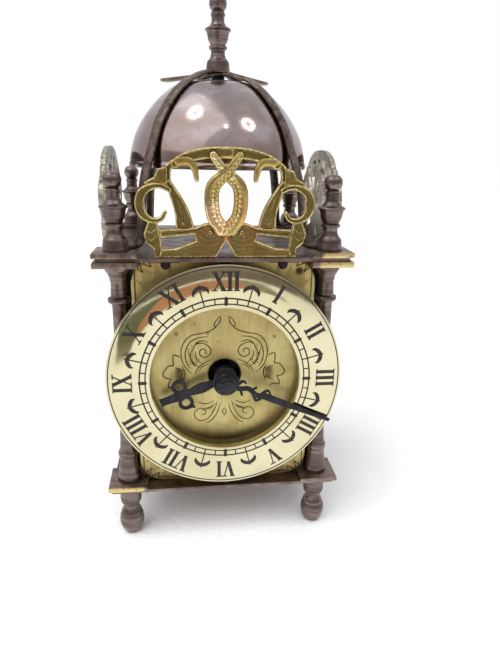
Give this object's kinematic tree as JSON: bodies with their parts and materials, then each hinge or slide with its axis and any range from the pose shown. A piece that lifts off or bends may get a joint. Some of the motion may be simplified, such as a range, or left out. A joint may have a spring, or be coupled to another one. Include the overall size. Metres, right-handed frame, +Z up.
{
  "type": "lantern clock",
  "caption": "Small table lantern clock: square plates on turned columns, a strapped bell, pierced frets, a raised chapter ring, two hands and a key-wound lever movement.",
  "frame": {"origin": "on the floor, on the vertical axis of the clock, midway between the four feet", "axes": "+Z up, -Y towards the dial, +X to the right of a person facing the dial"},
  "size_m": [0.079, 0.0856, 0.1772],
  "materials": {
    "tarnished_bronze": "tarnished, worn bright on edges",
    "bell_metal": "glossy, tarnished pink-grey",
    "cast_brass": "cast, aged, bright on high edges",
    "dial_brass": "matt, engraved",
    "ring_brass": "polished",
    "blackened_steel": "matt blue-black",
    "movement_brass": "satin",
    "arbor_steel": "polished steel",
    "spring_steel": "blued"
  },
  "bodies": {
    "case": {"bottom_plate": "tarnished_bronze", "top_plate": "tarnished_bronze", "foot_front_left": "tarnished_bronze", "column_front_left": "tarnished_bronze", "finial_front_left": "tarnished_bronze", "foot_front_right": "tarnished_bronze", "column_front_right": "tarnished_bronze", "finial_front_right": "tarnished_bronze", "foot_rear_left": "tarnished_bronze", "column_rear_left": "tarnished_bronze", "finial_rear_left": "tarnished_bronze", "foot_rear_right": "tarnished_bronze", "column_rear_right": "tarnished_bronze", "finial_rear_right": "tarnished_bronze", "bell_strap_a": "tarnished_bronze", "bell_strap_b": "tarnished_bronze", "top_finial": "tarnished_bronze", "side_panel_left": "tarnished_bronze", "side_panel_right": "tarnished_bronze", "back_panel": "tarnished_bronze", "bell": "bell_metal", "bell_spacer": "blackened_steel", "bell_nut": "arbor_steel", "fret_front": "cast_brass", "fret_left": "cast_brass", "fret_right": "cast_brass", "dial_plate": "dial_brass", "chapter_ring": "ring_brass", "dial_screw_left": "blackened_steel", "dial_screw_right": "blackened_steel", "movement_front_plate": "movement_brass", "movement_rear_plate": "movement_brass", "movement_post_left": "movement_brass", "movement_post_right": "movement_brass"},
    "centre": {"centre_arbor": "arbor_steel", "cannon_pinion": "arbor_steel", "minute_hand": "blackened_steel", "hand_nut": "blackened_steel", "set_knob": "movement_brass"},
    "hour": {"hour_wheel": "movement_brass", "hour_hand": "blackened_steel"},
    "minute_work": {"minute_wheel": "movement_brass"},
    "centre_drive": {"centre_wheel": "movement_brass"},
    "barrel_drum": {"barrel": "movement_brass", "barrel_cover": "movement_brass", "mainspring": "spring_steel"},
    "winding": {"winding_arbor": "arbor_steel", "winding_key": "movement_brass"},
    "ratchet_click": {"click": "arbor_steel"},
    "third": {"third_arbor": "arbor_steel", "third_wheel": "movement_brass"},
    "fourth": {"fourth_arbor": "arbor_steel", "fourth_wheel": "movement_brass"},
    "escape": {"escape_arbor": "arbor_steel", "escape_wheel": "movement_brass"},
    "lever": {"pallet_lever": "arbor_steel"},
    "balance": {"balance_wheel": "movement_brass", "hairspring": "spring_steel"}
  },
  "joints": [
    {"name": "minute_hand_turn", "type": "hinge", "parent": "case", "child": "centre", "pos_m": [0, 0, 0.0594], "axis": [0, 1, 0], "continuous": true},
    {"name": "hour_hand_turn", "type": "hinge", "parent": "case", "child": "hour", "pos_m": [0, 0, 0.0594], "axis": [0, 1, 0], "continuous": true},
    {"name": "minute_wheel_turn", "type": "hinge", "parent": "case", "child": "minute_work", "pos_m": [0.00831, 0, 0.0546], "axis": [0, 1, 0], "continuous": true},
    {"name": "centre_wheel_turn", "type": "hinge", "parent": "case", "child": "centre_drive", "pos_m": [0, 0, 0.0594], "axis": [0, 1, 0], "continuous": true},
    {"name": "barrel_turn", "type": "hinge", "parent": "case", "child": "barrel_drum", "pos_m": [0, 0, 0.04204], "axis": [0, 1, 0], "continuous": true},
    {"name": "third_wheel_turn", "type": "hinge", "parent": "case", "child": "third", "pos_m": [0.00654, 0, 0.07121], "axis": [0, 1, 0], "continuous": true},
    {"name": "fourth_wheel_turn", "type": "hinge", "parent": "case", "child": "fourth", "pos_m": [-0.00189, 0, 0.0778], "axis": [0, 1, 0], "continuous": true},
    {"name": "escape_wheel_turn", "type": "hinge", "parent": "case", "child": "escape", "pos_m": [-0.01119, 0, 0.08214], "axis": [0, 1, 0], "continuous": true},
    {"name": "winding_key_turn", "type": "hinge", "parent": "case", "child": "winding", "pos_m": [0, 0, 0.04204], "axis": [0, 1, 0], "continuous": true},
    {"name": "click_lift", "type": "hinge", "parent": "case", "child": "ratchet_click", "pos_m": [0.0086, 0, 0.04944], "axis": [0, -1, 0], "range_deg": [0, 15]},
    {"name": "pallet_lever_swing", "type": "hinge", "parent": "case", "child": "lever", "pos_m": [-0.0136, 0, 0.07514], "axis": [0, 1, 0], "range_deg": [-3.5, 3.5]},
    {"name": "balance_swing", "type": "hinge", "parent": "case", "child": "balance", "pos_m": [-0.01731, 0, 0.06436], "axis": [0, 1, 0], "range_deg": [-240, 240], "stiffness_Nm_per_rad": 0.0000093}
  ],
  "couplings": [
    {"joint": "hour_hand_turn", "follows": "minute_hand_turn", "ratio": 0.083333},
    {"joint": "minute_wheel_turn", "follows": "minute_hand_turn", "ratio": -0.33333},
    {"joint": "centre_wheel_turn", "follows": "fourth_wheel_turn", "ratio": 0.016667},
    {"joint": "barrel_turn", "follows": "fourth_wheel_turn", "ratio": -0.0027778},
    {"joint": "third_wheel_turn", "follows": "fourth_wheel_turn", "ratio": -0.13333},
    {"joint": "escape_wheel_turn", "follows": "fourth_wheel_turn", "ratio": -8}
  ]
}
